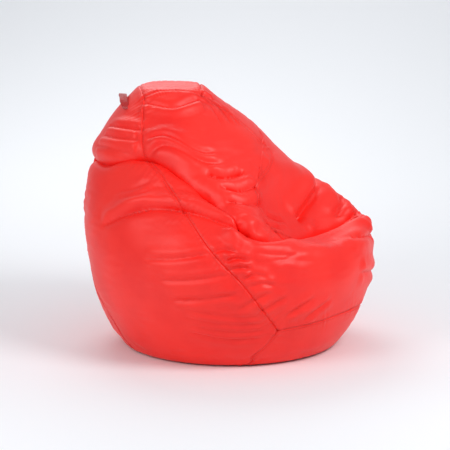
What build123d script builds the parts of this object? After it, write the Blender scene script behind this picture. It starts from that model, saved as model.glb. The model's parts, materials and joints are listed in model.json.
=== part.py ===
from build123d import *
import os
from math import cos, radians, sin

# Bean bag chair. Millimetres, +Z up, the sitter faces -Y. The origin lies on the floor under the middle of the bag.
# The bag is a pear: a wide round body that leans back into a narrower backrest, with a seat hollowed into its front.
# Every layer (cover, inner bag, beads) is the same form, drawn in by its own inset.

# Driving dimensions of the bag
bag_height = 790.0
bag_radius = 446.0
top_lean = 207.0  # how far the top stands behind the floor centre
base_width = 490.0
base_back_edge = 130.0  # the base panel's rear edge, behind the floor centre
base_roll_up = 115.0  # how far the base panel rolls up the front of the bag
top_panel_side = 185.0
top_panel_drop = 30.0  # how far below the top the top panel's corners are sewn
top_turn = -56.0  # the top's turn against the base, seen from above, in degrees

# Seat hollow, an egg-shaped dent with its long way across the bag
seat_half_width = 330.0
seat_radius = 165.0  # from front to back, and down
seat_centre_forward = 334.0
seat_centre_height = 513.0

# Layers
cover_thickness = 2.5
cover_to_liner = 2.0
liner_thickness = 1.0
liner_to_beads = 1.8
liner_fold = 60.0  # where the inner bag's base turns up into its body

# Zips: one in the base seam of the cover, one in the inner bag's base
zip_length = 420.0
liner_zip_length = 360.0
liner_zip_forward = 60.0
zip_half_gap = 4.0  # half the opening between the two sheets that a zip joins
tape_reach = 15.0
tape_thickness = 0.6
chain_gap = 1.2  # the way for the slider's neck, between the two coils
coil_half_width = 2.6
coil_drop = 1.0
slider_length = 9.0
slider_half_width = 3.2
slider_plate = 0.5
slider_neck = 0.6
slider_clearance = 0.25
pull_length = 22.0
pull_width = 5.0
pull_thickness = 0.8
pull_gap = 1.0  # from the slider to the line the pull turns about
pull_drop = 0.2  # the pull's middle, below the middle of the slider's lower plate
stop_length = 3.0

# Carry handle, a flat webbing strap
handle_drop = 45.0  # the strap's middle line, below the top of the bag
handle_half_span = 58.0
handle_rise = 30.0  # how far the strap's crown stands off the cover
handle_end_rise = 8.0
handle_width = 36.0
webbing_thickness = 2.4
handle_end_length = 30.0
handle_tilt = 17.0  # the strap hangs this much steeper than the cover under it, in degrees

moving_clearance = 0.4

# Outline of the bag, from the floor up: share of the height, share of the lean, share of the widest radius
OUTLINE = [
    (0.000, -0.02, 0.75),
    (0.076, -0.04, 0.84),
    (0.215, -0.04, 0.95),
    (0.367, -0.02, 1.00),
    (0.506, 0.13, 0.953),
    (0.633, 0.50, 0.785),
    (0.759, 0.76, 0.630),
    (0.850, 0.87, 0.510),
    (0.905, 0.93, 0.415),
    (0.950, 0.97, 0.325),
    (1.000, 1.00, 0.225),
]

# Lay of the side seams: share of the height, share of the whole turn
SEAM_TURN = [(-0.05, 0.0), (0.145, 0.0), (0.367, 0.19), (0.506, 0.33), (0.759, 0.63), (1.05, 1.06)]


def bag_form(inset):
    """The bag's solid form, drawn in by inset on every side, seat hollow included."""
    level_scale = (bag_height - 2 * inset) / bag_height
    with BuildPart() as form:
        for height_share, lean_share, radius_share in OUTLINE:
            level = inset + height_share * bag_height * level_scale
            with BuildSketch(Plane((0, lean_share * top_lean, level))):
                Circle(radius_share * bag_radius - inset)
        loft()
        seat_centre = (0, -seat_centre_forward, seat_centre_height)
        with BuildSketch(Plane(seat_centre)):
            Ellipse(seat_half_width + inset, seat_radius + inset)
            Rectangle(
                3 * seat_half_width,
                3 * seat_radius,
                align=(Align.CENTER, Align.MIN),
                mode=Mode.SUBTRACT,
            )
        revolve(axis=Axis(seat_centre, (1, 0, 0)), mode=Mode.SUBTRACT)
    return form.part


def turning_half(toward):
    """Half of space, parted by two opposite side seams. It faces the angle toward at the floor, and turns above."""
    reach = 3 * bag_radius
    axis_foot = base_back_edge - base_width / 2
    with BuildPart() as half:
        for height_share, turn_share in SEAM_TURN:
            axis_place = axis_foot + (top_lean - axis_foot) * height_share
            facing = toward - 90 + turn_share * top_turn
            with BuildSketch(Plane((0, axis_place, height_share * bag_height)).rotated((0, 0, facing))):
                Rectangle(2 * reach, reach, align=(Align.CENTER, Align.MIN))
        loft()
    return half.part


def zip_slot(length, place):
    """The opening in a sheet that a zip closes."""
    with BuildPart(Plane((0, place, 0))) as slot:
        Box(length + 2 * stop_length, 2 * zip_half_gap, 40)
    return slot.part


def write(piece, name):
    """Labels a piece and writes it to its own file."""
    piece.label = name
    export_step(piece, f"parts/{name}.step")


os.makedirs("parts", exist_ok=True)

liner_inset = cover_thickness + cover_to_liner
liner_inner_inset = liner_inset + liner_thickness
bead_inset = liner_inner_inset + liner_to_beads

cover_outside = bag_form(0)

# Zone of the base panel: a square prism that ends at the base seams
with BuildPart(Plane((0, base_back_edge, 0))) as base_zone:
    Box(
        base_width,
        2 * bag_radius,
        2 * base_roll_up,
        align=(Align.CENTER, Align.MAX, Align.CENTER),
    )

# Zone of the top panel: a square prism, turned with the top of the bag
with BuildPart(Plane((0, top_lean, bag_height - top_panel_drop)).rotated((0, 0, top_turn))) as top_zone:
    Box(top_panel_side, top_panel_side, 4 * top_panel_drop, align=(Align.CENTER, Align.CENTER, Align.MIN))

# The cover, whole, with the zip's opening
with BuildPart() as cover:
    add(cover_outside)
    add(bag_form(cover_thickness), mode=Mode.SUBTRACT)
    add(zip_slot(zip_length, base_back_edge), mode=Mode.SUBTRACT)

# Base panel
with BuildPart() as base_panel:
    add(cover.part)
    add(base_zone.part, mode=Mode.INTERSECT)
write(base_panel.part, "base_panel")

# Top panel
with BuildPart() as top_panel:
    add(cover.part)
    add(top_zone.part, mode=Mode.INTERSECT)
write(top_panel.part, "top_panel")

# Four side panels. Each lies in or out of the two turning halves, which share their seam surfaces.
with BuildPart() as sides:
    add(cover.part)
    add(base_zone.part, mode=Mode.SUBTRACT)
    add(top_zone.part, mode=Mode.SUBTRACT)

east_half = turning_half(-45)
west_half = turning_half(-135)
SIDE_PANELS = {
    "front_panel": (Mode.INTERSECT, Mode.INTERSECT),
    "left_panel": (Mode.INTERSECT, Mode.SUBTRACT),
    "right_panel": (Mode.SUBTRACT, Mode.INTERSECT),
    "back_panel": (Mode.SUBTRACT, Mode.SUBTRACT),
}
for panel_name, (east_mode, west_mode) in SIDE_PANELS.items():
    with BuildPart() as side_panel:
        add(sides.part)
        add(east_half, mode=east_mode)
        add(west_half, mode=west_mode)
    write(side_panel.part, panel_name)

# Inner bag: a body and a flat base, which part at the height of the fold
with BuildPart() as liner_fold_zone:
    Box(4 * bag_radius, 4 * bag_radius, 2 * liner_fold)

with BuildPart() as liner:
    add(bag_form(liner_inset))
    add(bag_form(liner_inner_inset), mode=Mode.SUBTRACT)

with BuildPart() as liner_body:
    add(liner.part)
    add(liner_fold_zone.part, mode=Mode.SUBTRACT)
write(liner_body.part, "liner_body")

with BuildPart() as liner_base:
    add(liner.part)
    add(liner_fold_zone.part, mode=Mode.INTERSECT)
    add(zip_slot(liner_zip_length, -liner_zip_forward), mode=Mode.SUBTRACT)
write(liner_base.part, "liner_base")

# Bead fill
bead_fill = bag_form(bead_inset)
write(bead_fill, "bead_fill")


def make_zip(prefix, length, place, sheet_inner_face, with_pull):
    """One closed zip along X. Its tapes lie on the sheets' inner faces, and its coils hang in the opening."""
    half_length = length / 2
    tape_floor = sheet_inner_face
    coil_floor = tape_floor - coil_drop
    slider_start = half_length - slider_length - moving_clearance
    for side_name, side in (("front", -1), ("back", 1)):
        flush = Align.MAX if side < 0 else Align.MIN
        with BuildPart(Plane((0, place + side * chain_gap / 2, tape_floor))) as tape:
            Box(
                length + 2 * stop_length,
                tape_reach,
                tape_thickness,
                align=(Align.CENTER, flush, Align.MIN),
            )
        write(tape.part, f"{prefix}_tape_{side_name}")
        with BuildPart(Plane((0, place + side * chain_gap / 2, coil_floor))) as coil:
            Box(
                length,
                coil_half_width - chain_gap / 2,
                coil_drop,
                align=(Align.CENTER, flush, Align.MIN),
            )
            rounded = coil.edges().filter_by(Axis.X).group_by(Axis.Z)[0]
            fillet(rounded, coil_drop * 0.4)
        write(coil.part, f"{prefix}_coil_{side_name}")
    with BuildPart() as slider:
        under_top = coil_floor - slider_clearance
        over_floor = tape_floor + tape_thickness + slider_clearance
        plate_size = (slider_length, 2 * slider_half_width, slider_plate)
        with Locations((slider_start, place, under_top)):
            Box(*plate_size, align=(Align.MIN, Align.CENTER, Align.MAX))
        with Locations((slider_start, place, over_floor)):
            Box(*plate_size, align=(Align.MIN, Align.CENTER, Align.MIN))
        fillet(slider.edges().filter_by(Axis.Z), slider_half_width * 0.4)
        with Locations((slider_start + slider_length / 2, place, under_top)):
            Box(
                slider_length / 2,
                slider_neck,
                over_floor - under_top,
                align=(Align.CENTER, Align.CENTER, Align.MIN),
            )
    write(slider.part, f"{prefix}_slider")
    for stop_name, side in (("open_end", -1), ("closed_end", 1)):
        flush = Align.MAX if side < 0 else Align.MIN
        with BuildPart(Plane((side * half_length, place, tape_floor))) as stop:
            Box(
                stop_length,
                2 * coil_half_width,
                coil_drop,
                align=(flush, Align.CENTER, Align.MAX),
            )
        write(stop.part, f"{prefix}_stop_{stop_name}")
    if with_pull:
        pull_level = under_top - slider_plate / 2 - pull_drop
        pull_axis = slider_start - pull_gap
        with BuildPart() as pull:
            with BuildSketch(Plane.XZ.offset(-place)):
                with Locations((pull_axis, pull_level)):
                    Circle(pull_thickness / 2)
                    Rectangle(pull_length, pull_thickness, align=(Align.MAX, Align.CENTER))
            extrude(amount=pull_width / 2, both=True)
            far_corners = pull.edges().filter_by(Axis.Z).group_by(Axis.X)[0]
            fillet(far_corners, pull_width * 0.4)
        write(pull.part, f"{prefix}_pull")
        print(f"{prefix} pull turns about Y at", pull_axis, place, pull_level)
    print(f"{prefix} slider travels", length - slider_length - 2 * moving_clearance)


make_zip("zip", zip_length, base_back_edge, cover_thickness, with_pull=True)
make_zip("liner_zip", liner_zip_length, -liner_zip_forward, liner_inner_inset, with_pull=False)

# Carry handle. Its place is where a level line from the bag's axis meets the cover, in the middle of the right
# panel's top, and the strap hangs a little steeper than the cover there.
handle_angle = 180.0 + top_turn
handle_level = bag_height - handle_drop
outward = Vector(cos(radians(handle_angle)), sin(radians(handle_angle)), 0)
level_line = Axis((0, top_lean, handle_level), outward)
foot, foot_normal = max(
    cover_outside.find_intersection_points(level_line),
    key=lambda found: (found[0] - level_line.position).dot(outward),
)
along = Vector(0, 0, 1).cross(outward)
tilted = foot_normal.rotate(Axis((0, 0, 0), along), handle_tilt)
# In the strap's profile plane X runs along the strap and Y stands off the cover
strap_plane = Plane(origin=foot, x_dir=along, z_dir=along.cross(tilted))

half_web = webbing_thickness / 2
with BuildPart() as handle_strap:
    with BuildSketch(strap_plane):
        with BuildLine():
            ThreePointArc(
                (-handle_half_span, handle_end_rise + half_web),
                (0, handle_rise + half_web),
                (handle_half_span, handle_end_rise + half_web),
            )
            Line((handle_half_span, handle_end_rise + half_web), (handle_half_span, handle_end_rise - half_web))
            ThreePointArc(
                (handle_half_span, handle_end_rise - half_web),
                (0, handle_rise - half_web),
                (-handle_half_span, handle_end_rise - half_web),
            )
            Line((-handle_half_span, handle_end_rise - half_web), (-handle_half_span, handle_end_rise + half_web))
        make_face()
    extrude(amount=handle_width / 2, both=True)
write(handle_strap.part, "handle_strap")

for end_name, side in (("front", 1), ("back", -1)):
    flush = Align.MIN if side > 0 else Align.MAX
    with BuildPart() as handle_end:
        with BuildSketch(strap_plane):
            with Locations((side * (handle_half_span + moving_clearance), handle_end_rise + half_web)):
                Rectangle(handle_end_length, 4 * handle_end_rise, align=(flush, Align.MAX))
        extrude(amount=handle_width / 2, both=True)
        add(cover_outside, mode=Mode.SUBTRACT)
    write(handle_end.part, f"handle_end_{end_name}")

pivot = strap_plane.from_local_coords((0, handle_end_rise, 0))
print("handle lifts about", tuple(-along), "at", tuple(pivot))
print("handle foot", tuple(foot), "cover normal", tuple(foot_normal), "strap normal", tuple(tilted))
print("bead volume", bead_fill.volume, "cover", cover_outside.volume)
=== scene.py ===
import json
import logging
import math
from dataclasses import dataclass, field, replace
from enum import Enum

import bpy
import numpy as np
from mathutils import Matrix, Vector


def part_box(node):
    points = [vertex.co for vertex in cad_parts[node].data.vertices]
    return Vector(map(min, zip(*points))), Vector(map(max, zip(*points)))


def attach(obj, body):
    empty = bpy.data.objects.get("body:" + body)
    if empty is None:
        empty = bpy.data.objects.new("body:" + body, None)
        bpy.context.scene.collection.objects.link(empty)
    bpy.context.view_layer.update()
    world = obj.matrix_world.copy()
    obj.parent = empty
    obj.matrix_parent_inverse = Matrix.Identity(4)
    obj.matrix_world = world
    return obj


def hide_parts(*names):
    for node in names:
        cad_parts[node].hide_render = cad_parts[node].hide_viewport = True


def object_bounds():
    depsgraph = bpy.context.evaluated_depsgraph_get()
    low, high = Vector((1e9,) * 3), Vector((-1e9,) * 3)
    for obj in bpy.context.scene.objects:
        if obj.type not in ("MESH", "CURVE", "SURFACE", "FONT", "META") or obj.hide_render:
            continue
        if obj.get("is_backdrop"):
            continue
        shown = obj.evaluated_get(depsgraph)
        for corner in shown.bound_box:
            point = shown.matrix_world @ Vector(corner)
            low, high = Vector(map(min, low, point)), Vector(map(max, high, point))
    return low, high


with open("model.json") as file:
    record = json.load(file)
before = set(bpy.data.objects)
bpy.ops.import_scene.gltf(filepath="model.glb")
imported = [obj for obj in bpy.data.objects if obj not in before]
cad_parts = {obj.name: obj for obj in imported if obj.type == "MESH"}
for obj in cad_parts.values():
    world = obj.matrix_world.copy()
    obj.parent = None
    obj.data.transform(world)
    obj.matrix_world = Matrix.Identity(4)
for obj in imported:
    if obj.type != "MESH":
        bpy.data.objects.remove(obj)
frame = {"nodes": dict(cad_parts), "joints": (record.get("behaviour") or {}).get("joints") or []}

log = logging.getLogger("bean_bag")

Array = np.ndarray
MM = 0.001
HEART = np.array([0.0, 0.050, 0.210])


def curve_through(points: Array, count: int, even: bool = True) -> Array:
    """A smooth curve through a few points.

    Args:
        points: the points that it passes through, one row each.
        count: how many points to give back.
        even: whether to space them evenly along the curve.

    Returns:
        The curve's points, one row each.
    """
    points = np.asarray(points, dtype=float)
    before = 2 * points[:1] - points[1:2]
    after = 2 * points[-1:] - points[-2:-1]
    padded = np.vstack([before, points, after])
    rows = []
    for i in range(len(points) - 1):
        a, b, c, d = padded[i : i + 4]
        t = np.linspace(0, 1, 24, endpoint=False)[:, None]
        rows.append(
            0.5 * (2 * b + (c - a) * t + (2 * a - 5 * b + 4 * c - d) * t**2 + (3 * b - a - 3 * c + d) * t**3)
        )
    dense = np.vstack([*rows, points[-1:]])
    return resample(dense, count) if even else dense


def resample(line: Array, count: int) -> Array:
    """The same line with count points, evenly spaced along it."""
    steps = np.linalg.norm(np.diff(line, axis=0), axis=1)
    along = np.concatenate([[0], np.cumsum(steps)])
    wanted = np.linspace(0, along[-1], count)
    return np.stack([np.interp(wanted, along, line[:, k]) for k in range(line.shape[1])], axis=1)


def smooth_step(low: float, high: float, value: Array) -> Array:
    """0 up to low, 1 from high on, and smooth between them."""
    t = np.clip((value - low) / (high - low), 0, 1)
    return t * t * (3 - 2 * t)


def ripple(points: Array, wavelength: Array, seed: int, waves: int = 14) -> Array:
    """Soft random unevenness, the sum of waves that run every way.

    Args:
        points: where to work it out.
        wavelength: the usual wavelength along each axis.
        seed: which pattern.
        waves: how many waves to add.

    Returns:
        Values near -1 to 1, one for each point.
    """
    rng = np.random.default_rng(seed)
    scaled = points / np.asarray(wavelength)
    total = np.zeros(points.shape[:-1])
    for _ in range(waves):
        way = rng.normal(size=points.shape[-1])
        way /= np.linalg.norm(way)
        total += np.sin(scaled @ way * 2 * math.pi * rng.uniform(0.6, 1.7) + rng.uniform(0, 2 * math.pi))
    return total / math.sqrt(waves)


def joint_place(name: str) -> Array:
    """Where a joint of the frame sits."""
    joint = next(j for j in frame["joints"] if j["name"] == name)
    return np.array(joint["pos_m"], dtype=float)


@dataclass
class PearForm:
    """The bag's whole form: rings that lean back as they rise, less the hollow that the sitter has pressed."""

    height: float
    radius: float
    lean: float = 0.207
    rings: Array = field(
        default_factory=lambda: np.array(
            [
                (0.000, -0.02, 0.75),
                (0.076, -0.04, 0.84),
                (0.215, -0.04, 0.95),
                (0.367, -0.02, 1.00),
                (0.506, 0.13, 0.953),
                (0.633, 0.50, 0.785),
                (0.759, 0.76, 0.630),
                (0.850, 0.87, 0.510),
                (0.905, 0.93, 0.415),
                (0.950, 0.97, 0.325),
                (1.000, 1.00, 0.225),
            ]
        )
    )
    hollow_place: Array = field(default_factory=lambda: np.array([0.0, -0.334, 0.513]))
    hollow_size: Array = field(default_factory=lambda: np.array([0.330, 0.165, 0.165]))

    @staticmethod
    def _easy(xs: Array, ys: Array, x: Array) -> Array:
        """Values of ys at x, on a smooth curve over xs.

        Args:
            xs: where the values are given.
            ys: the values.
            x: where they are wanted.

        Returns:
            The values at x.
        """
        slopes = np.gradient(ys, xs)
        i = np.clip(np.searchsorted(xs, x) - 1, 0, len(xs) - 2)
        h = xs[i + 1] - xs[i]
        t = np.clip((x - xs[i]) / h, 0, 1)
        return (
            (2 * t**3 - 3 * t**2 + 1) * ys[i]
            + (t**3 - 2 * t**2 + t) * h * slopes[i]
            + (3 * t**2 - 2 * t**3) * ys[i + 1]
            + (t**3 - t**2) * h * slopes[i + 1]
        )

    @staticmethod
    def _join(a: Array, b: Array, ease: float) -> Array:
        """The larger of a and b, eased where they meet."""
        h = np.clip(0.5 + 0.5 * (a - b) / ease, 0, 1)
        return b * (1 - h) + a * h + ease * h * (1 - h)

    def outside(self, p: Array) -> Array:
        """How far outside the form each point is, in metres. It is negative inside.

        Args:
            p: the points.

        Returns:
            One distance for each point.
        """
        share = p[..., 2] / self.height
        centre = self._easy(self.rings[:, 0], self.rings[:, 1], share) * self.lean
        reach = self._easy(self.rings[:, 0], self.rings[:, 2], share) * self.radius
        d = np.hypot(p[..., 0], p[..., 1] - centre) - reach
        d = self._join(d, -p[..., 2], 0.014)
        d = self._join(d, p[..., 2] - self.height, 0.016)
        hollow = (np.linalg.norm((p - self.hollow_place) / self.hollow_size, axis=-1) - 1) * self.hollow_size[2]
        return self._join(d, -hollow, 0.045)

    def skin(self, points: Array) -> Array:
        """Each point moved along its line from the bag's heart, on to the form.

        Args:
            points: points anywhere but the heart.

        Returns:
            The same points, on the form.
        """
        way = points - HEART
        way = way / np.linalg.norm(way, axis=-1, keepdims=True)
        near = np.full(way.shape[:-1], 0.02)
        found = np.zeros(way.shape[:-1], bool)
        step = 0.01
        for _ in range(95):
            beyond = self.outside(HEART + way * (near + step)[..., None]) > 0
            found |= beyond
            near = np.where(found, near, near + step)
        far = near + step
        for _ in range(16):
            middle = (near + far) / 2
            beyond = self.outside(HEART + way * middle[..., None]) > 0
            far = np.where(beyond, middle, far)
            near = np.where(beyond, near, middle)
        return HEART + way * near[..., None]

    def normals(self, points: Array) -> Array:
        """The way out from the form at each point.

        Args:
            points: points on the form.

        Returns:
            One unit vector for each point.
        """
        h = 0.004
        grads = []
        for k in range(3):
            step = np.zeros(3)
            step[k] = h
            grads.append(self.outside(points + step) - self.outside(points - step))
        n = np.stack(grads, axis=-1)
        return n / np.maximum(np.linalg.norm(n, axis=-1, keepdims=True), 1e-9)

    def ring_point(self, height: float, angle: float) -> tuple[float, float, float]:
        """The point at that height and at that angle in degrees, before the hollow."""
        share = np.array([height / self.height])
        centre = float(self._easy(self.rings[:, 0], self.rings[:, 1], share)[0]) * self.lean
        reach = float(self._easy(self.rings[:, 0], self.rings[:, 2], share)[0]) * self.radius
        a = math.radians(angle)
        return (reach * math.cos(a), centre + reach * math.sin(a), height)

    def places(self, rows: tuple) -> Array:
        """Points from places, each a turn and a height, or across, back and up, in millimetres."""
        return np.array([np.array(row) * MM if len(row) == 3 else self.ring_point(row[1] * MM, row[0]) for row in rows])


@dataclass
class Near:
    """Where some points lie against a line: how far off, on which side, and how far along."""

    index: Array
    off: Array
    side: Array
    along: Array
    across: Array


def near_line(points: Array, normals: Array, line: Array, reach: float) -> Near:
    """Finds the points near a line on the skin.

    Args:
        points: the skin's points.
        normals: the way out at each.
        line: the line's points.
        reach: how far off to look.

    Returns:
        The points found. side is positive to the left of the line, seen from outside.
    """
    low, high = line.min(axis=0) - reach, line.max(axis=0) + reach
    index = np.nonzero(np.all((points > low) & (points < high), axis=1))[0]
    p = points[index]
    best = np.full(len(p), 1e9)
    along = np.zeros(len(p))
    foot = np.zeros_like(p)
    tangent = np.zeros_like(p)
    lengths = np.linalg.norm(np.diff(line, axis=0), axis=1)
    starts = np.concatenate([[0], np.cumsum(lengths)])
    for i in range(len(line) - 1):
        a, ab = line[i], line[i + 1] - line[i]
        t = np.clip((p - a) @ ab / (ab @ ab), 0, 1)
        q = a + t[:, None] * ab
        d = np.linalg.norm(p - q, axis=1)
        closer = d < best
        best[closer] = d[closer]
        along[closer] = (starts[i] + t * lengths[i])[closer]
        foot[closer] = q[closer]
        tangent[closer] = ab / lengths[i]
    keep = best < reach
    index, p, best, along = index[keep], p[keep], best[keep], along[keep]
    across = np.cross(normals[index], tangent[keep])
    across /= np.maximum(np.linalg.norm(across, axis=1, keepdims=True), 1e-9)
    side = np.sum((p - foot[keep]) * across, axis=1)
    return Near(index, best, side, along, across)


@dataclass(frozen=True)
class Crease:
    """A fold that the cloth has taken. Sizes are in millimetres.

    points run along it. With them, the left side is the one that hangs over.
    """

    name: str
    points: tuple
    depth: float
    width: float
    left_swell: float = 0.0
    right_swell: float = 0.0
    swell_width: float = 30.0
    overhang: float = 0.0
    start_taper: float = 40.0
    end_taper: float = 40.0

    def lay(self, form: PearForm) -> Array:
        """The line that the fold runs along, on the form."""
        return form.skin(curve_through(form.places(self.points), 48))

    def press(self, points: Array, normals: Array, line: Array, moved: Array) -> None:
        """Adds this fold's movement to moved.

        Args:
            points: points on the form.
            normals: the way out at each.
            line: the line that the fold runs along.
            moved: the movement so far, which is added to.
        """
        length = float(np.sum(np.linalg.norm(np.diff(line, axis=0), axis=1)))
        reach = max(4 * self.width, 2.6 * self.swell_width) * MM
        near = near_line(points, normals, line, reach)
        if not len(near.index):
            return
        taper = smooth_step(-0.001, self.start_taper * MM, near.along)
        taper = taper * smooth_step(-0.001, self.end_taper * MM, length - near.along)
        side, width, swell = near.side / MM, self.width, self.swell_width
        wander = 0.9 + 0.14 * ripple(near.along[:, None] / MM, [190.0], len(self.name) + int(self.depth * 7), 5)
        dip = -self.depth * np.exp(-near.off / MM / width)
        left = self.left_swell * np.exp(-(((side - swell) / swell) ** 2)) * (side > -4)
        right = self.right_swell * np.exp(-(((side + swell) / swell) ** 2)) * (side < 4)
        left = np.where(side > 0, left, left * 0)
        right = np.where(side < 0, right, right * 0)
        out = (dip + left + right) * taper * wander * MM
        hang = np.where(side > 0, self.overhang * np.exp(-((side / (0.8 * swell)) ** 2)), 0) * taper * MM
        np.add.at(moved, near.index, out[:, None] * normals[near.index] - hang[:, None] * near.across)


@dataclass(frozen=True)
class Fan:
    """Like folds that lie side by side, each one a step on from the last."""

    first: Crease
    step: tuple
    count: int
    fade: float = 0.88

    def creases(self) -> list[Crease]:
        """The folds, each a little shallower than the last."""
        rows = []
        for k in range(self.count):
            sway = 1.5 * math.sin(2.3 * k)
            places = tuple(
                tuple(value + k * shift for value, shift in zip(place, self.step)) for place in self.first.points
            )
            places = tuple((place[0] + sway, *place[1:]) for place in places)
            depth = self.first.depth * self.fade**k
            rows.append(replace(self.first, name=f"{self.first.name}_{k + 1}", points=places, depth=depth))
        return rows


# The folds. A place is the turn round the bag in degrees, from the sitter's left round by the back, and the height
# in millimetres; one in the seat hollow is across, back and up, in millimetres.
SINGLE_FOLDS = (
    Crease("shoulder_fold", ((110, 550), (150, 580), (190, 610), (210, 550), (225, 420)), 42, 12, 12, 4, 36, 12, 8, 30),
    Crease("arm_fold", ((225, 410), (215, 450), (190, 480), (150, 400)), 20, 9, 5, 18, 26, 0, 60, 60),
    Crease("seat_fold", ((-300, -190, 460), (-290, -260, 410), (-100, -280, 370), (100, -280, 360), (260, -310, 390)),
           46, 16, 2, 17, 30, 0, 40, 40),
    Crease("far_arm_fold", ((290, -110, 490), (240, -150, 470), (150, -150, 400), (30, -180, 360)),
           36, 17, 11, 14, 30, 5, 10, 30),
    Crease("cap_band", ((170, 750), (210, 745), (250, 760)), 12, 9, 2, 11, 20, 0, 12, 12),
    Crease("ear_notch", ((260, 775), (265, 770), (275, 755)), 13, 7, 9, 4, 12, 0, 8, 8),
)

FANS = (
    Fan(Crease("back_pocket", ((220, 570), (230, 560), (245, 570)), 20, 11, 8, 4, 20, 5, 22, 22), (2, -35), 3, 0.85),
    Fan(Crease("far_pleat", ((310, -190, 450), (220, -210, 390), (140, -210, 350)), 18, 9, 7, 8, 20, 2, 15, 25),
        (10, -45, -20), 3, 0.65),
    Fan(Crease("seat_gather", ((-120, -200, 440), (-80, -210, 420), (-30, -210, 400)), 8, 7, 5, 5, 12, 0, 15, 15),
        (-50, -20, -10), 2),
    Fan(Crease("front_tuck", ((310, 340), (300, 330), (270, 370)), 16, 8, 8, 10, 20, 4, 10, 40), (0, -110), 2, 0.5),
    Fan(Crease("side_crease", ((175, 340), (190, 350), (205, 370)), 9, 7, 6, 6, 16), (5, -60), 3, 0.95),
    Fan(Crease("back_wave", ((185, 650), (200, 670), (220, 630), (235, 620)), 10, 8, 8, 9, 18), (0, -30), 2),
    Fan(Crease("back_pleat", ((260, 750), (255, 720), (250, 680)), 4, 6, 3, 3, 12), (10, 0), 3),
    Fan(Crease("upper_side", ((135, 670), (160, 680), (180, 680)), 9, 7, 6, 6, 16, 0, 30, 10), (0, -30), 3, 0.75),
    Fan(Crease("arm_wave", ((160, 500), (175, 520), (190, 550)), 4, 8, 3, 3, 16), (0, -20), 2),
    Fan(Crease("seam_tuck", ((205, 370), (210, 380), (215, 370)), 10, 6, 6, 6, 13, 0, 12, 20), (3, -25), 5, 0.95),
    Fan(Crease("brow", ((220, 370), (230, 360), (240, 350)), 5, 9, 4, 4, 18), (5, -20), 2),
    Fan(Crease("front_ridge", ((240, 140), (245, 170), (255, 210)), 9, 7, 6, 7, 15), (-10, 15), 4, 0.9),
    Fan(Crease("low_crease", ((190, 120), (210, 100), (225, 100)), 4.5, 7, 3, 3, 13), (0, 25), 4, 0.95),
)

CREASES = (*SINGLE_FOLDS, *(crease for fan in FANS for crease in fan.creases()))


@dataclass(frozen=True)
class Seam:
    """A seam between two panels, with the gathers that its thread has drawn in."""

    name: str
    line: Array
    dip: float = 2.2
    gather: float = 1.8
    gather_reach: float = 30.0
    gather_length: float = 17.0

    def press(self, points: Array, normals: Array, moved: Array) -> None:
        """Adds the seam's dip and gathers to moved.

        Args:
            points: points on the form.
            normals: the way out at each.
            moved: the movement so far, which is added to.
        """
        near = near_line(points, normals, self.line, 3 * self.gather_reach * MM)
        off, side = near.off / MM, near.side / MM
        along = near.along / MM
        lean = np.where(side > 0, 0.25, -0.2)
        waves = ripple((along + lean * np.abs(side))[:, None], [self.gather_length], sum(map(ord, self.name)), 9)
        where = 0.55 + 0.45 * ripple(along[:, None], [190.0], 7 + len(self.name), 5)
        pucker = self.gather * waves * np.clip(where, 0.1, 1.4) * np.exp(-off / self.gather_reach) * (1 - np.exp(-off / 5))
        out = (-self.dip * np.exp(-off / 3.6) + 0.35 * self.dip * np.exp(-(((off - 11) / 7) ** 2)) + pucker) * MM
        np.add.at(moved, near.index, out[:, None] * normals[near.index])


@dataclass
class Relief:
    """Everything that stands off or dips into the smooth form."""

    form: PearForm
    seams: tuple
    lines: list = field(default_factory=list)

    def __post_init__(self) -> None:
        """Lays every fold's line on the form once."""
        self.lines = [crease.lay(self.form) for crease in CREASES]

    def moved(self, points: Array, fine: bool = True) -> Array:
        """How far each point of the form moves.

        Args:
            points: points on the form.
            fine: whether to add seams and small unevenness as well as the folds.

        Returns:
            The movement of each, one row each.
        """
        normals = self.form.normals(points)
        move = np.zeros_like(points)
        for crease, line in zip(CREASES, self.lines):
            crease.press(points, normals, line, move)
        broad = 2.6 * ripple(points, [0.24, 0.24, 0.17], 3)
        lying = smooth_step(0.006, 0.06, points[:, 2])
        out = broad * lying
        if fine:
            for seam in self.seams:
                seam.press(points, normals, move)
            level = 0.9 * ripple(points, [0.16, 0.16, 0.030], 11) * np.clip(ripple(points, [0.3, 0.3, 0.25], 21), 0, 1.5)
            small = 0.45 * ripple(points, [0.05, 0.05, 0.028], 12) * np.clip(ripple(points, [0.2, 0.2, 0.2], 22), 0, 1.5)
            out = out + (level + small) * lying
        move += (out * MM)[:, None] * normals
        held = np.linalg.norm(points - joint_place("handle_swing"), axis=-1)
        return move * smooth_step(0.06, 0.13, held)[..., None]


class Corner(Enum):
    """The four side seams, by the corner of the bag that each one climbs."""

    NEAR = "near"
    FRONT = "front"
    FAR = "far"
    BACK = "back"


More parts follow.
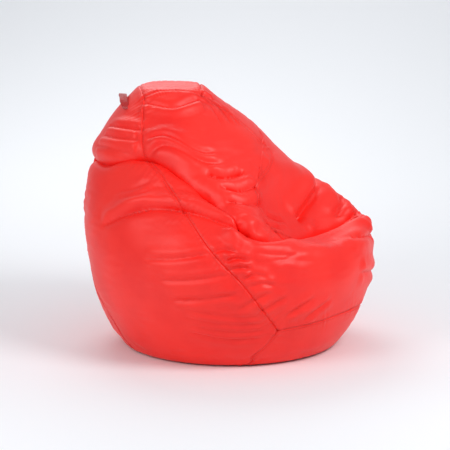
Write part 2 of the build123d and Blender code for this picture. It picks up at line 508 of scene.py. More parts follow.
@dataclass
class Pattern:
    """The cutting pattern: where the seams run, and the panels between them."""

    form: PearForm
    across: int = 121
    up: int = 201
    top_half: float = 0.131
    top_turn: float = 169.0
    base_width: float = 0.490
    base_back_edge: float = 0.130

    def top_corner(self, quarter: int) -> Array:
        """A corner of the top panel."""
        a = math.radians(self.top_turn + 90 * quarter)
        return np.array([self.top_half * math.cos(a), 0.209 + self.top_half * math.sin(a), 0.775])

    def climb(self, which: Corner) -> Array:
        """The points that one side seam passes through, from the base up.

        Args:
            which: the corner that the seam climbs.

        Returns:
            The points, one row each.
        """
        if which is Corner.NEAR:
            rows = ((230, 120), (215, 270), (205, 370), (200, 480), (195, 560), (185, 620), (175, 740))
            return np.vstack([self.form.places(rows), self.top_corner(0)])
        if which is Corner.FRONT:
            rows = ((305, 110), (305, 290), (305, 360), (250, -310, 390), (100, -300, 360), (-90, -270, 370),
                    (-150, -220, 430), (245, 530), (265, 570), (280, 610), (275, 700), (265, 750))
            return np.vstack([self.form.places(rows), self.top_corner(1)])
        quarter = 2 if which is Corner.FAR else 3
        side = 1 if which is Corner.FAR else -1
        foot = np.array([side * self.base_width / 2, self.base_back_edge, 0.0])
        shares = np.linspace(0.14, 0.77, 6)
        turns = [(58 - 63 * share + 90 * (quarter - 2), 1000 * share * self.form.height) for share in shares]
        return np.vstack([foot, self.form.places(turns), self.top_corner(quarter)])

    def base_edge(self, which: Corner) -> Array:
        """The base panel's edge that starts at that corner, going round by the front.

        Args:
            which: the corner that it starts at.

        Returns:
            The points, one row each.
        """
        near, front = self.climb(Corner.NEAR)[0], self.climb(Corner.FRONT)[0]
        far, back = self.climb(Corner.FAR)[0], self.climb(Corner.BACK)[0]
        side = np.array([(-270, -290, 70), (-280, -245, 30), (-255, -200, 5)]) * MM
        if which is Corner.NEAR:
            rows = self.form.places(((245, 130), (260, 140), (280, 140)))
            return np.vstack([near, rows, front])
        if which is Corner.FRONT:
            return np.vstack([front, side * np.array([-1, 1, 1]), far])
        if which is Corner.FAR:
            return np.vstack([far, back])
        return np.vstack([back, side[::-1], near])

    def lines(self) -> dict[str, Array]:
        """Every seam as a line on the form, by name."""
        found = {}
        for corner in Corner:
            found[f"climb_{corner.value}"] = self._lay(self.climb(corner), self.up)
            found[f"base_{corner.value}"] = self._lay(self.base_edge(corner), self.across)
        order = list(Corner)
        for k, corner in enumerate(order):
            ends = np.vstack([self.top_corner(k), self.top_corner(k + 1)])
            found[f"top_{corner.value}"] = self._lay(ends, self.across)
        return found

    def _lay(self, points: Array, count: int) -> Array:
        """A line through the points, on the form, evenly spaced."""
        line = self.form.skin(curve_through(points, 400))
        return self.form.skin(resample(line, count))

    def patch(self, bottom: Array, top: Array, left: Array, right: Array) -> Array:
        """A net of points between four seams, on the form.

        Args:
            bottom: the lower seam.
            top: the upper seam.
            left: the seam at the start of each row.
            right: the seam at the end of each row.

        Returns:
            The net: rows, columns, and a place in each.
        """
        rows, columns = len(left), len(bottom)
        u = np.linspace(0, 1, columns)[None, :, None]
        v = np.linspace(0, 1, rows)[:, None, None]
        sides = (1 - u) * left[:, None] + u * right[:, None]
        ends = (1 - v) * bottom[None] + v * top[None]
        corners = (1 - v) * ((1 - u) * bottom[0] + u * bottom[-1]) + v * ((1 - u) * top[0] + u * top[-1])
        net = self.form.skin(sides + ends - corners)
        net[0], net[-1], net[:, 0], net[:, -1] = bottom, top, left, right
        return net

    def panels(self) -> dict[str, Array]:
        """The net of each panel, by its name."""
        s = self.lines()
        flip = slice(None, None, -1)
        nets = {}
        nets["front_panel"] = self.patch(s["base_near"], s["top_near"], s["climb_near"], s["climb_front"])
        nets["left_panel"] = self.patch(s["base_front"], s["top_front"], s["climb_front"], s["climb_far"])
        nets["back_panel"] = self.patch(s["base_far"], s["top_far"], s["climb_far"], s["climb_back"])
        nets["right_panel"] = self.patch(s["base_back"], s["top_back"], s["climb_back"], s["climb_near"])
        nets["base_panel"] = self.patch(s["base_near"], s["base_far"][flip], s["base_back"][flip], s["base_front"])[flip]
        nets["top_panel"] = self.patch(s["top_near"], s["top_far"][flip], s["top_back"][flip], s["top_front"])
        return nets


@dataclass(frozen=True)
class Nylon:
    """The cover's coated nylon: close plain weave with a soft sheen."""

    name: str = "cover_nylon"
    colour: tuple = (1.0, 0.018, 0.009)
    deep: tuple = (0.92, 0.009, 0.004)
    roughness: float = 0.46
    sheen: float = 0.04
    thread: float = 1500.0

    def make(self) -> bpy.types.Material:
        """The material, ready to use."""
        return ClothFinish(self.name, self.colour, self.deep, self.roughness, self.sheen, self.thread, 0.12).make()


def weave_group() -> bpy.types.NodeTree:
    """A plain weave. It takes a position and a thread count, and gives a normal and a mask of the threads' tops."""
    name = "plain_weave"
    if name in bpy.data.node_groups:
        return bpy.data.node_groups[name]
    tree = bpy.data.node_groups.new(name, "ShaderNodeTree")
    tree.interface.new_socket("Vector", in_out="INPUT", socket_type="NodeSocketVector")
    tree.interface.new_socket("Threads", in_out="INPUT", socket_type="NodeSocketFloat")
    tree.interface.new_socket("Depth", in_out="INPUT", socket_type="NodeSocketFloat")
    tree.interface.new_socket("Normal", in_out="OUTPUT", socket_type="NodeSocketVector")
    tree.interface.new_socket("Tops", in_out="OUTPUT", socket_type="NodeSocketFloat")
    take, give = tree.nodes.new("NodeGroupInput"), tree.nodes.new("NodeGroupOutput")
    waves = []
    for way in ("X", "Y"):
        wave = tree.nodes.new("ShaderNodeTexWave")
        wave.bands_direction = way
        wave.inputs["Distortion"].default_value = 0.4
        tree.links.new(take.outputs["Vector"], wave.inputs["Vector"])
        tree.links.new(take.outputs["Threads"], wave.inputs["Scale"])
        waves.append(wave)
    mix = tree.nodes.new("ShaderNodeMath")
    mix.operation = "MULTIPLY"
    tree.links.new(waves[0].outputs["Fac"], mix.inputs[0])
    tree.links.new(waves[1].outputs["Fac"], mix.inputs[1])
    bump = tree.nodes.new("ShaderNodeBump")
    bump.inputs["Distance"].default_value = 0.0004
    tree.links.new(take.outputs["Depth"], bump.inputs["Strength"])
    tree.links.new(mix.outputs[0], bump.inputs["Height"])
    tree.links.new(bump.outputs["Normal"], give.inputs["Normal"])
    tree.links.new(mix.outputs[0], give.inputs["Tops"])
    return tree


def blotch_group() -> bpy.types.NodeTree:
    """Uneven dye and wear: gives a slow mask and a fine mask from 0 to 1."""
    name = "uneven_dye"
    if name in bpy.data.node_groups:
        return bpy.data.node_groups[name]
    tree = bpy.data.node_groups.new(name, "ShaderNodeTree")
    tree.interface.new_socket("Vector", in_out="INPUT", socket_type="NodeSocketVector")
    tree.interface.new_socket("Slow", in_out="OUTPUT", socket_type="NodeSocketFloat")
    tree.interface.new_socket("Fine", in_out="OUTPUT", socket_type="NodeSocketFloat")
    take, give = tree.nodes.new("NodeGroupInput"), tree.nodes.new("NodeGroupOutput")
    for scale, out in ((7.0, "Slow"), (90.0, "Fine")):
        noise = tree.nodes.new("ShaderNodeTexNoise")
        noise.inputs["Scale"].default_value = scale
        noise.inputs["Detail"].default_value = 4.0
        tree.links.new(take.outputs["Vector"], noise.inputs["Vector"])
        tree.links.new(noise.outputs["Fac"], give.inputs[out])
    return tree


@dataclass(frozen=True)
class ClothFinish:
    """A woven cloth."""

    name: str
    colour: tuple
    deep: tuple
    roughness: float
    sheen: float
    thread: float
    depth: float

    def make(self) -> bpy.types.Material:
        """The material, ready to use."""
        material = bpy.data.materials.new(self.name)
        material.use_nodes = True
        nodes, links = material.node_tree.nodes, material.node_tree.links
        shader = nodes["Principled BSDF"]
        shader.inputs["Roughness"].default_value = self.roughness
        shader.inputs["Sheen Weight"].default_value = self.sheen
        shader.inputs["Sheen Roughness"].default_value = 0.4
        place = nodes.new("ShaderNodeTexCoord")
        dye = nodes.new("ShaderNodeGroup")
        dye.node_tree = blotch_group()
        links.new(place.outputs["Object"], dye.inputs["Vector"])
        weave = nodes.new("ShaderNodeGroup")
        weave.node_tree = weave_group()
        weave.inputs["Threads"].default_value = self.thread
        weave.inputs["Depth"].default_value = self.depth
        links.new(place.outputs["UV"], weave.inputs["Vector"])
        mix = nodes.new("ShaderNodeMix")
        mix.data_type = "RGBA"
        mix.inputs["A"].default_value = (*self.deep, 1)
        mix.inputs["B"].default_value = (*self.colour, 1)
        spread = nodes.new("ShaderNodeMapRange")
        spread.inputs["From Min"].default_value = 0.3
        spread.inputs["From Max"].default_value = 0.6
        links.new(dye.outputs["Slow"], spread.inputs["Value"])
        links.new(spread.outputs["Result"], mix.inputs["Factor"])
        links.new(mix.outputs["Result"], shader.inputs["Base Color"])
        links.new(weave.outputs["Normal"], shader.inputs["Normal"])
        return material


@dataclass(frozen=True)
class PlainFinish:
    """A moulded or metal finish with a little unevenness."""

    name: str
    colour: tuple
    roughness: float
    metal: float = 0.0
    grain: float = 0.0003

    def make(self) -> bpy.types.Material:
        """The material, ready to use."""
        material = bpy.data.materials.new(self.name)
        material.use_nodes = True
        nodes, links = material.node_tree.nodes, material.node_tree.links
        shader = nodes["Principled BSDF"]
        shader.inputs["Metallic"].default_value = self.metal
        shader.inputs["Base Color"].default_value = (*self.colour, 1)
        place = nodes.new("ShaderNodeTexCoord")
        dye = nodes.new("ShaderNodeGroup")
        dye.node_tree = blotch_group()
        links.new(place.outputs["Object"], dye.inputs["Vector"])
        spread = nodes.new("ShaderNodeMapRange")
        spread.inputs["To Min"].default_value = self.roughness * 0.8
        spread.inputs["To Max"].default_value = self.roughness * 1.2
        links.new(dye.outputs["Fine"], spread.inputs["Value"])
        links.new(spread.outputs["Result"], shader.inputs["Roughness"])
        bump = nodes.new("ShaderNodeBump")
        bump.inputs["Distance"].default_value = self.grain
        links.new(dye.outputs["Fine"], bump.inputs["Height"])
        links.new(bump.outputs["Normal"], shader.inputs["Normal"])
        return material


class Finishes:
    """Every finish of the bag, made once."""

    def __init__(self) -> None:
        """Makes them all."""
        self.nylon = Nylon().make()
        red, dark = (0.50, 0.012, 0.012), (0.36, 0.008, 0.008)
        self.webbing = ClothFinish("handle_webbing", red, dark, 0.62, 0.3, 500.0, 0.8).make()
        self.liner = ClothFinish("liner_cloth", (0.85, 0.84, 0.81), (0.8, 0.79, 0.76), 0.8, 0.2, 900.0, 0.4).make()
        self.tape = ClothFinish("zip_tape", red, dark, 0.7, 0.2, 900.0, 0.4).make()
        self.liner_tape = ClothFinish("liner_zip_tape", (0.86, 0.86, 0.84), (0.8, 0.8, 0.78), 0.7, 0.2, 900.0, 0.4).make()
        self.thread = ClothFinish("sewing_thread", (0.72, 0.02, 0.016), (0.6, 0.014, 0.012), 0.6, 0.4, 2500.0, 0.5).make()
        self.beads = PlainFinish("beads", (0.94, 0.94, 0.93), 0.7, 0.0, 0.004).make()
        self.coil = PlainFinish("zip_coil", (0.55, 0.02, 0.018), 0.45).make()
        self.liner_coil = PlainFinish("liner_zip_coil", (0.86, 0.86, 0.84), 0.45).make()
        self.metal = PlainFinish("zip_metal", (0.7, 0.7, 0.72), 0.35, 1.0).make()


def net_object(name: str, points: Array, faces: Array, uv: Array | None, material: bpy.types.Material) -> bpy.types.Object:
    """A smooth mesh from points and faces.

    Args:
        name: the piece's name.
        points: one row each, in metres.
        faces: the corners of each face.
        uv: a place on the flat cloth for each point, or None.
        material: its finish.

    Returns:
        The object, in the scene.
    """
    mesh = bpy.data.meshes.new(name)
    mesh.from_pydata(points.tolist(), [], faces.tolist())
    if uv is not None:
        layer = mesh.uv_layers.new(name="flat_cloth")
        layer.data.foreach_set("uv", uv[faces.reshape(-1)].astype(np.float32).reshape(-1))
    mesh.polygons.foreach_set("use_smooth", [True] * len(mesh.polygons))
    mesh.materials.append(material)
    piece = bpy.data.objects.new(name, mesh)
    bpy.context.scene.collection.objects.link(piece)
    return piece


def grid_faces(rows: int, columns: int) -> Array:
    """The faces of a net of points, row by row."""
    i = np.arange(rows - 1)[:, None] * columns + np.arange(columns - 1)[None]
    return np.stack([i, i + 1, i + columns + 1, i + columns], axis=-1).reshape(-1, 4)


@dataclass
class Settle:
    """Lets the sewn cover settle over its fill as slack cloth, and gives back the small wrinkles it takes."""

    frames: int = 14
    slack: float = 0.035
    reach: float = 0.0045

    def run(self, nets: dict[str, Array]) -> dict[str, Array]:
        """Settles all the panels together, at half their detail.

        Args:
            nets: each panel's net of points, shaped.

        Returns:
            How far each point of each net moves.
        """
        coarse = {name: net[::2, ::2] for name, net in nets.items()}
        every = np.vstack([net.reshape(-1, 3) for net in coarse.values()])
        _, first, back = np.unique(np.round(every, 5), axis=0, return_index=True, return_inverse=True)
        back = back.reshape(-1)
        start = every[first]
        faces, base = [], 0
        for net in coarse.values():
            faces.append(back[grid_faces(*net.shape[:2]) + base])
            base += net.shape[0] * net.shape[1]
        mesh = bpy.data.meshes.new("settling")
        mesh.from_pydata(start.tolist(), [], np.concatenate(faces).tolist())
        body = bpy.data.objects.new("settling", mesh)
        bpy.context.scene.collection.objects.link(body)
        held = body.vertex_groups.new(name="held")
        held.add([int(i) for i in np.nonzero(start[:, 2] < 0.006)[0]], 1.0, "REPLACE")
        cloth = body.modifiers.new("cloth", "CLOTH")
        rules = cloth.settings
        rules.quality = 4
        rules.mass = 0.12
        rules.tension_stiffness = rules.compression_stiffness = 18
        rules.shear_stiffness = 6
        rules.bending_stiffness = 0.03
        rules.air_damping = 4
        rules.use_pressure = True
        rules.uniform_pressure_force = 1.5
        rules.shrink_min = -self.slack
        rules.vertex_group_mass = "held"
        rules.effector_weights.gravity = 0
        cloth.collision_settings.use_collision = False
        cloth.point_cache.frame_start, cloth.point_cache.frame_end = 1, self.frames
        scene = bpy.context.scene
        for number in range(1, self.frames + 1):
            scene.frame_set(number)
        shown = body.evaluated_get(bpy.context.evaluated_depsgraph_get())
        ended = np.empty(len(start) * 3)
        shown.data.vertices.foreach_get("co", ended)
        moved = ended.reshape(-1, 3) - start
        edges = np.empty(len(mesh.edges) * 2, dtype=int)
        mesh.edges.foreach_get("vertices", edges)
        edges = edges.reshape(-1, 2)
        share = np.bincount(edges.reshape(-1), minlength=len(start))[:, None]
        slow = moved.copy()
        for _ in range(12):
            total = np.zeros_like(slow)
            np.add.at(total, edges[:, 0], slow[edges[:, 1]])
            np.add.at(total, edges[:, 1], slow[edges[:, 0]])
            slow = 0.4 * slow + 0.6 * total / np.maximum(share, 1)
        wrinkle = moved - slow
        size = np.linalg.norm(wrinkle, axis=1, keepdims=True)
        log.info("settled: mean %.2f mm, most %.2f mm", float(size.mean() * 1000), float(size.max() * 1000))
        wrinkle = wrinkle * self.reach / (self.reach + size)
        wrinkle *= smooth_step(0.004, 0.05, start[:, 2])[:, None]
        scene.frame_set(1)
        bpy.data.objects.remove(body)
        found, base = {}, 0
        for name, net in coarse.items():
            count = net.shape[0] * net.shape[1]
            part = wrinkle[back[base : base + count]].reshape(net.shape)
            found[name] = self._finer(part, nets[name].shape)
            base += count
        return found

    @staticmethod
    def _finer(part: Array, shape: tuple) -> Array:
        """The same movement at full detail.

        Args:
            part: the movement of the coarse net.
            shape: the fine net's shape.

        Returns:
            The movement of the fine net.
        """
        fine = np.zeros(shape)
        fine[::2, ::2] = part
        fine[1::2, ::2] = (part[:-1] + part[1:]) / 2
        fine[:, 1::2] = (fine[:, :-2:2] + fine[:, 2::2]) / 2
        for _ in range(2):
            middle = fine[1:-1, 1:-1] * 4 + fine[:-2, 1:-1] + fine[2:, 1:-1] + fine[1:-1, :-2] + fine[1:-1, 2:]
            fine[1:-1, 1:-1] = middle / 8
        return fine


@dataclass
class Cover:
    """The outer cover, sewn from six panels."""

    pattern: Pattern
    relief: Relief
    finishes: Finishes
    slot_half: float = 0.213
    slot_gap: float = 0.004
    cloth: float = 0.0012

    def build(self) -> None:
        """Makes each panel and lays it on the bag."""
        nets = self.pattern.panels()
        laid = {}
        for name, net in nets.items():
            flat = net.reshape(-1, 3)
            laid[name] = (flat + self.relief.moved(flat)).reshape(net.shape)
        settled = Settle().run(laid)
        for name, net in nets.items():
            rows, columns = net.shape[:2]
            shaped = (laid[name] + settled[name]).reshape(-1, 3)
            shaped[:, 2] = np.maximum(shaped[:, 2], 0.0)
            shaped = self._open_slot(name, shaped)
            steps_u = np.linalg.norm(np.diff(net[rows // 2], axis=0), axis=1).sum()
            steps_v = np.linalg.norm(np.diff(net[:, columns // 2], axis=0), axis=1).sum()
            u, v = np.meshgrid(np.linspace(0, steps_u, columns), np.linspace(0, steps_v, rows))
            uv = np.stack([u, v], axis=-1).reshape(-1, 2)
            piece = net_object(f"cover_{name}", shaped, grid_faces(rows, columns), uv, self.finishes.nylon)
            thick = piece.modifiers.new("cloth", "SOLIDIFY")
            thick.thickness = self.cloth
            thick.offset = -1
            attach(piece, "bag")
            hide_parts(name)
            quads = shaped.reshape(rows, columns, 3)

    def _open_slot(self, name: str, points: Array) -> Array:
        """Holds the two edges at the zip apart.

        Args:
            name: the panel.
            points: its net.

        Returns:
            The net with its edge at the zip drawn back.
        """
        if name not in ("base_panel", "back_panel"):
            return points
        low = points[:, 2] < 0.012
        inside = low & (np.abs(points[:, 0]) < self.slot_half)
        line = 0.130
        if name == "base_panel":
            points[inside, 1] = np.minimum(points[inside, 1], line - self.slot_gap)
        else:
            points[inside, 1] = np.maximum(points[inside, 1], line + self.slot_gap)
        return points


@dataclass
class Stitching:
    """Rows of stitches that lie on the cover."""

    relief: Relief
    finishes: Finishes
    pitch: float = 0.0046
    length: float = 0.0032
    thread: float = 0.0005

    def sew(self, name: str, line: Array, offset: float, body: str = "bag", laid: bool = True) -> bpy.types.Object:
        """One row of stitches beside a line.

        Args:
            name: the row's name.
            line: the line's points, on the form when laid is true.
            offset: how far to its left to sew, in metres.
            body: the body that it moves with.
            laid: whether to lay it on the dressed cover.

        Returns:
            The row, as one piece.
        """
        form = self.relief.form
        total = float(np.linalg.norm(np.diff(line, axis=0), axis=1).sum())
        count = max(2, int(total / self.pitch))
        centres = resample(line, count + 1)
        ways = np.gradient(centres, axis=0)
        ways /= np.maximum(np.linalg.norm(ways, axis=1, keepdims=True), 1e-9)
        normals = form.normals(centres)
        if laid:
            centres = form.skin(centres + np.cross(normals, ways) * offset)
            normals = form.normals(centres)
            centres = centres + self.relief.moved(centres) + normals * self.thread * 0.4
        side = np.cross(normals, ways)
        ring = []
        for end in (-0.5, 0.0, 0.5):
            lift = (0.6 if end == 0 else -0.9) * self.thread
            for a in range(6):
                turn = math.pi * a / 3
                ring.append(
                    centres
                    + ways * (end * self.length)
                    + normals * (lift + math.sin(turn) * self.thread)
                    + side * (math.cos(turn) * self.thread)
                )
        points = np.stack(ring, axis=1).reshape(-1, 3)
        one = []
        for k in range(2):
            for a in range(6):
                b = (a + 1) % 6
                one.append((6 * k + a, 6 * k + b, 6 * k + 6 + b, 6 * k + 6 + a))
        faces = (np.arange(count + 1)[:, None, None] * 18 + np.array(one)[None]).reshape(-1, 4)
        row = net_object(name, points, faces, None, self.finishes.thread)
        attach(row, body)
        return row


@dataclass
class Handle:
    """The carry handle: a webbing strap sewn down at both ends, high on the back of the bag."""

    relief: Relief
    finishes: Finishes
    stitching: Stitching
    half_span: float = 0.058
    end_length: float = 0.028
    half_width: float = 0.0120
    end_rise: float = 0.008
    rise: float = 0.021
    thick: float = 0.0022

    def __post_init__(self) -> None:
        """Takes the strap's place from the joint that it swings on and the CAD strap's own middle."""
        joint = next(j for j in frame["joints"] if j["name"] == "handle_swing")
        pivot = np.array(joint["pos_m"], dtype=float)
        self.along = -np.array(joint["axis"], dtype=float)
        self.along /= np.linalg.norm(self.along)
        low, high = (np.array(corner, dtype=float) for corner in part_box("handle_strap"))
        out = (low + high) / 2 - pivot
        out -= self.along * (out @ self.along)
        self.out = out / np.linalg.norm(out)
        self.foot = pivot - self.out * self.end_rise

    def build(self) -> None:
        """Makes the strap and its two sewn ends."""
        self._strap()
        for name, side in (("front", 1.0), ("back", -1.0)):
            self._end(name, side)

    def _web(self, name: str, middle: Array, across: Array, outs: Array, body: str) -> bpy.types.Object:
        """A length of webbing along a middle line, with soft ribs and rolled edges.

        Args:
            name: the piece's name.
            middle: points down its middle.
            across: the way across it at each.
            outs: the way out from it at each.
            body: the body that it rides on.

        Returns:
            The piece.
        """
        rows, columns = len(middle), 25
        t = np.linspace(-1, 1, columns)
        ribs = 0.00022 * np.cos(t * math.pi * 9) - 0.0006 * np.abs(t) ** 6
        spread = middle[:, None] + across[:, None] * (t * self.half_width)[None, :, None]
        upper = spread + outs[:, None] * (self.thick / 2 + ribs)[None, :, None]
        under = spread - outs[:, None] * (self.thick / 2 + ribs)[None, :, None]
        points = np.concatenate([upper.reshape(-1, 3), under.reshape(-1, 3)])
        faces = grid_faces(rows, columns)
        total = rows * columns
        lines = [faces, faces[:, ::-1] + total]
        for edge in (0, columns - 1):
            i = np.arange(rows - 1) * columns + edge
            wall = np.stack([i, i + columns, i + columns + total, i + total], axis=-1)
            lines.append(wall if edge == 0 else wall[:, ::-1])
        for row in (0, rows - 1):
            i = row * columns + np.arange(columns - 1)
            wall = np.stack([i, i + 1, i + 1 + total, i + total], axis=-1)
            lines.append(wall[:, ::-1] if row == 0 else wall)
        steps = np.concatenate([[0], np.cumsum(np.linalg.norm(np.diff(middle, axis=0), axis=1))])
        u, v = np.meshgrid(t * self.half_width, steps)
        uv = np.stack([u, v], axis=-1).reshape(-1, 2)
        web = net_object(name, points, np.concatenate(lines), np.concatenate([uv, uv]), self.finishes.webbing)
        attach(web, body)
        return web

    def _strap(self) -> None:
        """The part that a hand takes hold of."""
        s = np.linspace(-1, 1, 61)
        height = self.end_rise + (self.rise - self.end_rise) * np.cos(s * math.pi / 2) ** 0.8
        middle = self.foot + self.along * (s * self.half_span)[:, None] + self.out * height[:, None]
        ways = np.gradient(middle, axis=0)
        ways /= np.linalg.norm(ways, axis=1, keepdims=True)
        width = np.cross(self.out, self.along)
        tip = 0.10 * np.sin(s * 5.0)[:, None]
        outs = np.cross(ways, width[None].repeat(len(s), 0))
        outs *= np.sign(np.sum(outs * self.out, axis=1, keepdims=True))
        across = width[None] + outs * tip
        strap = self._web("carry_strap", middle, across, outs, "carry_handle")
        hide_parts("handle_strap")

    def _end(self, name: str, side: float) -> None:
        """One sewn end, from the strap down on to the cover.

        Args:
            name: the piece's name.
            side: 1 for the front end and -1 for the back one.
        """
        form = self.relief.form
        width = np.cross(self.out, self.along)
        reach = np.linspace(self.half_span + 0.0004, self.half_span + self.end_length, 19)
        t = np.linspace(0, 1, len(reach))
        high = self.foot + self.along * (side * reach)[:, None] + self.out * self.end_rise
        low = form.skin(high)
        normals = form.normals(low)
        low = low + self.relief.moved(low) + normals * (self.thick / 2 + 0.0008)
        ease = smooth_step(0.0, 0.55, t)[:, None]
        middle = high * (1 - ease) + low * ease
        outs = self.out * (1 - ease) + normals * ease
        outs /= np.linalg.norm(outs, axis=1, keepdims=True)
        if side < 0:
            middle, outs = middle[::-1], outs[::-1]
        end = self._web(f"strap_end_{name}", middle, width[None].repeat(len(t), 0), outs, "bag")
        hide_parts(f"handle_end_{name}")


@dataclass
class Filling:
    """The inner bag and the beads in it, which follow the cover from inside."""

    form: PearForm
    relief: Relief
    finishes: Finishes
    liner_inset: float = 0.034
    bead_inset: float = 0.042

    def build(self) -> None:
        """Makes the inner bag's two pieces and the mass of beads."""
        rows, columns = 91, 144
        polar = np.linspace(0.0, math.pi, rows)[:, None]
        turn = np.linspace(0, 2 * math.pi, columns, endpoint=False)[None]
        way = np.stack(
            [np.sin(polar) * np.cos(turn), np.sin(polar) * np.sin(turn), np.cos(polar) * np.ones_like(turn)], axis=-1
        )
        skin = self.form.skin(HEART + way)
        flat = skin.reshape(-1, 3)
        normals = self.form.normals(flat)
        shaped = flat + self.relief.moved(flat, fine=False)
        i = np.arange(rows - 1)[:, None] * columns + np.arange(columns)[None]
        j = np.arange(rows - 1)[:, None] * columns + (np.arange(columns)[None] + 1) % columns
        faces = np.stack([i, i + columns, j + columns, j], axis=-1).reshape(-1, 4)
        inner = shaped - normals * self.liner_inset
        level = inner[faces].mean(axis=1)[:, 2]
        for name, keep in (("liner_body", level > 0.06), ("liner_base", level <= 0.06)):
            piece = self._piece(f"inner_{name}", inner, faces[keep], self.finishes.liner)
            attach(piece, "bag")
            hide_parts(name)
        beads = self._piece("bead_mass", shaped - normals * self.bead_inset, faces, self.finishes.beads)
        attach(beads, "bag")
        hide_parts("bead_fill")

    def _piece(self, name: str, points: Array, faces: Array, material: bpy.types.Material) -> bpy.types.Object:
        """A mesh of the points that those faces use."""
        used, back = np.unique(faces.reshape(-1), return_inverse=True)
        uv = points[used][:, :2]
        return net_object(name, points[used], back.reshape(faces.shape), uv, material)


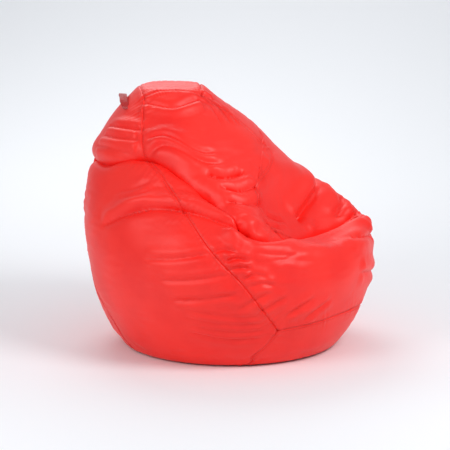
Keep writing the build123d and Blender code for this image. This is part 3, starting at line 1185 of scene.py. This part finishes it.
@dataclass
class Studio:
    """A pale floor and background, soft light, and the camera."""

    target: tuple = (0.0, 0.0, 0.0)
    azimuth: float = -60.0
    elevation: float = 12.0
    lens: float = 200.0
    shown: float = 1.4175
    surround: float = 0.42

    def build(self) -> None:
        """Sets it all up."""
        scene = bpy.context.scene
        scene.view_settings.view_transform = "Standard"
        self._backdrop()
        self._lights()
        az, el = math.radians(self.azimuth), math.radians(self.elevation)
        right = Vector((math.cos(az), math.sin(az), 0))
        back = Vector((math.sin(az) * math.cos(el), -math.cos(az) * math.cos(el), math.sin(el)))
        up = back.cross(right)
        distance = self.shown * self.lens / 36
        aim = right * -0.0126 + up * 0.356
        data = bpy.data.cameras.new("camera")
        data.lens = self.lens
        data.clip_end = 40
        camera = bpy.data.objects.new("camera", data)
        camera.location = aim + back * distance
        camera.rotation_euler = back.to_track_quat("Z", "Y").to_euler()
        scene.collection.objects.link(camera)
        scene.camera = camera

    def _backdrop(self) -> None:
        """A floor that curves up into a wall behind the bag."""
        az = math.radians(self.azimuth)
        away = np.array([-math.sin(az), math.cos(az), 0])
        side = np.array([math.cos(az), math.sin(az), 0])
        profile = [(-5.0, 0.0), (0.9, 0.0), (2.0, 0.05), (3.2, 0.25), (4.3, 0.75), (5.2, 1.6), (5.7, 2.8), (5.9, 6.0)]
        line = curve_through(np.array(profile), 80)
        points = []
        for along in (-6.0, 6.0):
            points.append(away[None] * line[:, :1] + np.array([[0, 0, 1.0]]) * line[:, 1:] + side[None] * along)
        net = np.stack(points, axis=1).reshape(-1, 3)
        finish = PlainFinish("studio_paper", (0.90, 0.915, 0.94), 0.9, 0.0, 0.0).make()
        self._one_sided(finish)
        paper = net_object("backdrop", net, grid_faces(80, 2), None, finish)
        if paper.data.polygons[0].normal.z < 0:
            paper.data.flip_normals()
        paper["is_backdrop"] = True

    def _one_sided(self, material: bpy.types.Material) -> None:
        """Makes a material clear when it is seen from behind."""
        nodes, links = material.node_tree.nodes, material.node_tree.links
        output = next(node for node in nodes if node.type == "OUTPUT_MATERIAL")
        paint = output.inputs["Surface"].links[0].from_socket
        side = nodes.new("ShaderNodeNewGeometry")
        clear = nodes.new("ShaderNodeBsdfTransparent")
        choice = nodes.new("ShaderNodeMixShader")
        links.new(side.outputs["Backfacing"], choice.inputs[0])
        links.new(paint, choice.inputs[1])
        links.new(clear.outputs[0], choice.inputs[2])
        links.new(choice.outputs[0], output.inputs["Surface"])

    def _lights(self) -> None:
        """One wide light overhead, one in front, and an even pale surround."""
        world = bpy.data.worlds.new("studio")
        world.use_nodes = True
        nodes, links = world.node_tree.nodes, world.node_tree.links
        seen = nodes.new("ShaderNodeLightPath")
        level = nodes.new("ShaderNodeMapRange")
        level.inputs["To Min"].default_value = self.surround
        level.inputs["To Max"].default_value = 1.0
        links.new(seen.outputs["Is Camera Ray"], level.inputs["Value"])
        nodes["Background"].inputs["Color"].default_value = (0.93, 0.96, 1.0, 1)
        links.new(level.outputs["Result"], nodes["Background"].inputs["Strength"])
        bpy.context.scene.world = world
        rows = (
            ("key", (-0.4, -2.4, 2.4), (0.0, 0.0, 0.35), 1.5, 50.0),
            ("side", (-2.6, 0.6, 1.6), (0.0, 0.0, 0.35), 1.6, 24.0),
            ("back", (1.6, 1.6, 2.6), (0.0, 0.0, 0.35), 2.0, 28.0),
            ("wall", (2.1, 1.2, 3.4), (4.4, 2.5, 1.1), 3.0, 42.0),
        )
        for name, place, aim, size, power in rows:
            data = bpy.data.lights.new(name, "AREA")
            data.shape = "DISK"
            data.size = size
            data.energy = power
            lamp = bpy.data.objects.new(name, data)
            lamp.location = place
            lamp.rotation_euler = (Vector(place) - Vector(aim)).to_track_quat("Z", "Y").to_euler()
            bpy.context.scene.collection.objects.link(lamp)
            lamp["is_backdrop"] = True


NODE_FINISH = {
    "zip_tape": "tape",
    "zip_coil": "coil",
    "zip_slider": "metal",
    "zip_pull": "metal",
    "zip_stop": "metal",
    "liner_zip_tape": "liner_tape",
    "liner_zip_coil": "liner_coil",
    "liner_zip_slider": "metal",
    "liner_zip_stop": "metal",
    "handle": "webbing",
}


def finish_small_pieces(finishes: Finishes) -> None:
    """Gives the zips' own pieces their finishes."""
    for name, node in frame["nodes"].items():
        for prefix, attribute in NODE_FINISH.items():
            if name.startswith(prefix):
                node.data.materials.clear()
                node.data.materials.append(getattr(finishes, attribute))


def main() -> None:
    """Builds the whole bag."""
    logging.basicConfig(level=logging.INFO, format="%(message)s")
    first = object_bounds()
    low, high = first
    form = PearForm(height=round(high[2] - low[2], 3), radius=round((high[0] - low[0]) / 2, 3))
    finishes = Finishes()
    pattern = Pattern(form)
    seams = []
    for name, line in pattern.lines().items():
        if name.startswith("top"):
            seams.append(Seam(name, line, dip=2.2, gather=0.9, gather_reach=16, gather_length=13))
        elif name == "climb_near":
            seams.append(Seam(name, line, dip=2.4, gather=2.8, gather_reach=26, gather_length=17))
        elif name == "base_far":
            continue
        else:
            seams.append(Seam(name, line))
    relief = Relief(form, tuple(seams))
    log.info("cover")
    Cover(pattern, relief, finishes).build()
    log.info("handle")
    stitching = Stitching(relief, finishes)
    Handle(relief, finishes, stitching).build()
    log.info("stitching")
    for name, line in pattern.lines().items():
        if name != "base_far":
            stitching.sew(f"stitches_{name}", line, 0.0055)
            stitching.sew(f"stitches_{name}_under", line, -0.0055)
    log.info("filling")
    Filling(form, relief, finishes).build()
    log.info("small pieces")
    finish_small_pieces(finishes)
    log.info("studio")
    Studio().build()


if __name__ == "__main__":
    main()
